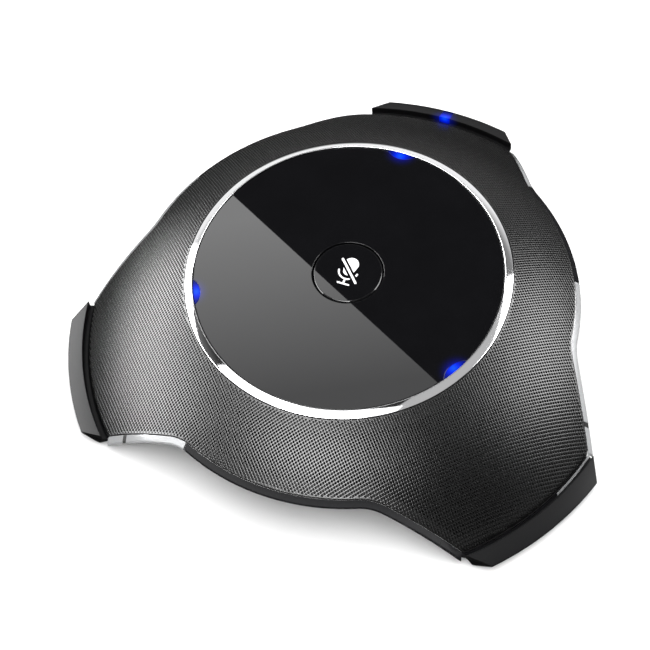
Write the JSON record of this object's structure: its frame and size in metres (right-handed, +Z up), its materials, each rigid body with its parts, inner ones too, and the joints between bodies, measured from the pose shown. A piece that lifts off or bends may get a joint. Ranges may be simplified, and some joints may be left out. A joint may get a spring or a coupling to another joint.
{
  "type": "conference speakerphone",
  "caption": "Three-lobed tabletop conference speakerphone with a domed perforated grille, a round gloss touch panel, a mute button and blue status lights.",
  "frame": {"origin": "bottom centre of the bounding box, on the table plane under the feet", "axes": "+Z up; +Y towards the rear lobe, which carries the blue cap light; +X to the right as the mute icon is read"},
  "size_m": [0.226, 0.209, 0.0474],
  "materials": {
    "housing_plastic": "fine moulded texture, black",
    "frame_plastic": "black moulded frame",
    "grille_metal": "dark grey satin paint on perforated steel",
    "acoustic_felt": "black felt",
    "bright_trim": "polished chrome",
    "bright_ring": "polished chrome",
    "cap_plastic": "satin black, fine grain",
    "gloss_panel": "piano black gloss",
    "icon_white": "white inlay",
    "led_white": "light emitting diode package",
    "rubber_inner": "silicone rubber",
    "rubber_foot": "dark rubber",
    "steel": "plated sheet steel",
    "screw_steel": "dark zinc screws",
    "circuit_board": "green solder mask",
    "magnet": "ferrite",
    "paper_cone": "treated black paper",
    "socket_plastic": "black thermoplastic",
    "blue_light": "lit blue light guide"
  },
  "bodies": {
    "base": {"bottom_housing": "housing_plastic", "top_frame": "frame_plastic", "mesh_grille": "grille_metal", "dust_screen": "acoustic_felt", "side_trim_front": "bright_trim", "side_trim_right": "bright_trim", "side_trim_left": "bright_trim", "tip_trim_rear": "bright_trim", "end_cap_rear": "cap_plastic", "status_light_rear": "blue_light", "led_rear": "led_white", "mic_boot_rear": "rubber_inner", "mic_capsule_rear": "steel", "mic_board_rear": "circuit_board", "foot_rear": "rubber_foot", "base_screw_rear": "screw_steel", "tip_trim_left": "bright_trim", "end_cap_left": "cap_plastic", "status_light_left": "blue_light", "led_left": "led_white", "mic_boot_left": "rubber_inner", "mic_capsule_left": "steel", "mic_board_left": "circuit_board", "foot_left": "rubber_foot", "base_screw_left": "screw_steel", "tip_trim_right": "bright_trim", "end_cap_right": "cap_plastic", "status_light_right": "blue_light", "led_right": "led_white", "mic_boot_right": "rubber_inner", "mic_capsule_right": "steel", "mic_board_right": "circuit_board", "foot_right": "rubber_foot", "base_screw_right": "screw_steel", "cap_light_rear": "blue_light", "bezel_ring": "bright_ring", "touch_panel": "gloss_panel", "mute_dome": "rubber_inner", "key_board": "circuit_board", "speaker_basket": "steel", "speaker_magnet": "magnet", "speaker_cone": "paper_cone", "speaker_surround": "rubber_inner", "speaker_screw_1": "screw_steel", "speaker_screw_2": "screw_steel", "speaker_screw_3": "screw_steel", "speaker_screw_4": "screw_steel", "main_board": "circuit_board", "chip_shield": "steel", "line_socket": "socket_plastic"},
    "mute_key": {"mute_button": "gloss_panel", "mute_icon": "icon_white"}
  },
  "joints": [
    {"name": "mute_press", "type": "slide", "parent": "base", "child": "mute_key", "axis": [0, 0, -1], "range_m": [0, 0.0005], "stiffness_N_per_m": 900, "springref_m": -0.0004, "deforming": ["mute_dome"]}
  ]
}
